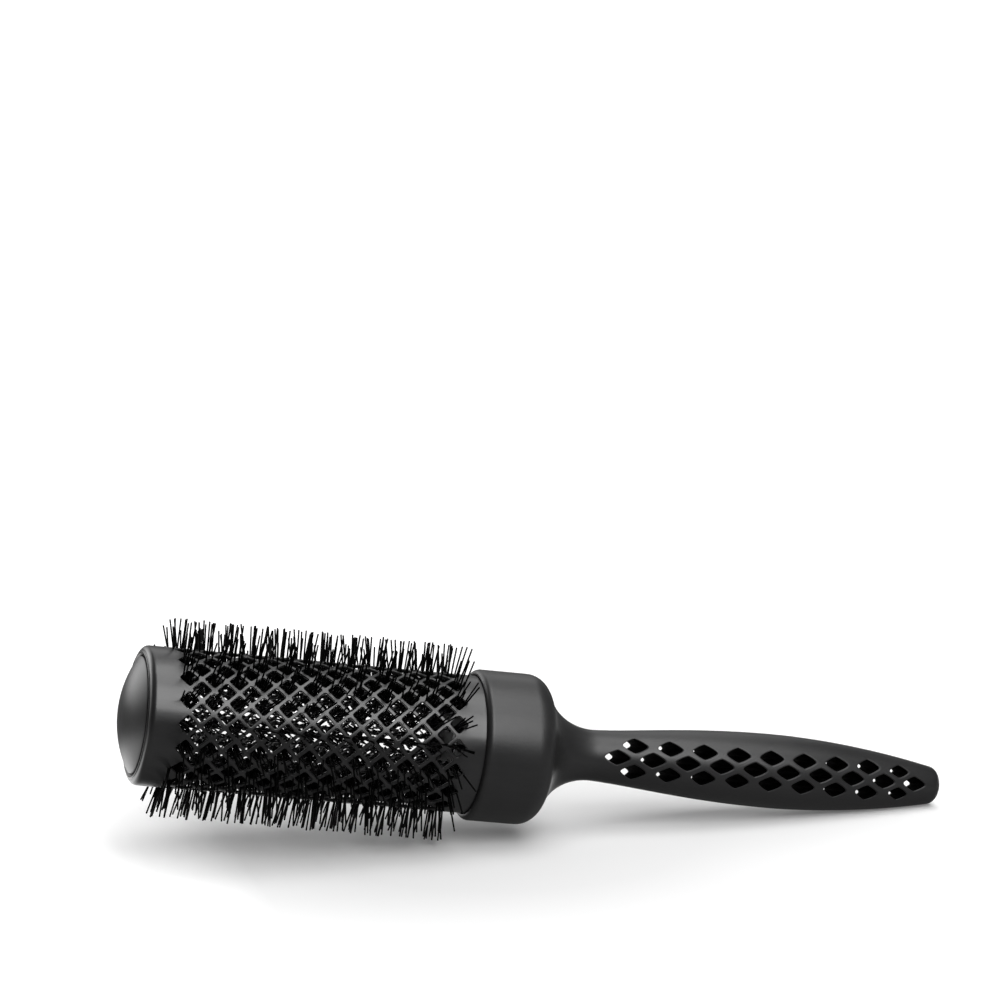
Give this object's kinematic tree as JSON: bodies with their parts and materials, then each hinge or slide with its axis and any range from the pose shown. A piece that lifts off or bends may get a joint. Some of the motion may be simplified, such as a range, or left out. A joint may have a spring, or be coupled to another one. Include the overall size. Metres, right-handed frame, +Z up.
{
  "type": "blowout brush",
  "caption": "Round thermal hair brush: a vented barrel with rows of bristles through its lattice, a domed end cap, and a soft-touch handle whose oval grip is pierced by diamond vents.",
  "frame": {"origin": "on the brush's axis, at the middle of the straight wall of the handle's collar", "axes": "+X along the brush from the domed tip to the butt of the handle, +Z up, and the grip's vents run through along Y"},
  "size_m": [0.2671, 0.0618, 0.062],
  "materials": {
    "barrel": "satin grey heat-conducting coat",
    "tip_cap": "soft-touch grey",
    "holder": "matte black",
    "screw": "plain",
    "wire": "drawn",
    "bristles": "black nylon",
    "handle": "soft-touch grey coat"
  },
  "bodies": {
    "root": {"barrel": "barrel", "tip_cap": "tip_cap", "tip_holder": "holder", "hub": "holder", "hub_screw": "screw", "handle": "handle", "strand_wire_01": "wire", "strand_wire_02": "wire", "strand_wire_03": "wire", "strand_wire_04": "wire", "strand_wire_05": "wire", "strand_wire_06": "wire", "strand_wire_07": "wire", "strand_wire_08": "wire", "strand_wire_09": "wire", "strand_wire_10": "wire", "strand_wire_11": "wire", "strand_wire_12": "wire", "strand_wire_13": "wire", "strand_wire_14": "wire", "strand_wire_15": "wire", "strand_wire_16": "wire", "strand_wire_17": "wire", "strand_wire_18": "wire", "bristle_row_01": "bristles", "bristle_row_02": "bristles", "bristle_row_03": "bristles", "bristle_row_04": "bristles", "bristle_row_05": "bristles", "bristle_row_06": "bristles", "bristle_row_07": "bristles", "bristle_row_08": "bristles", "bristle_row_09": "bristles", "bristle_row_10": "bristles", "bristle_row_11": "bristles", "bristle_row_12": "bristles", "bristle_row_13": "bristles", "bristle_row_14": "bristles", "bristle_row_15": "bristles", "bristle_row_16": "bristles", "bristle_row_17": "bristles", "bristle_row_18": "bristles"}
  },
  "joints": []
}
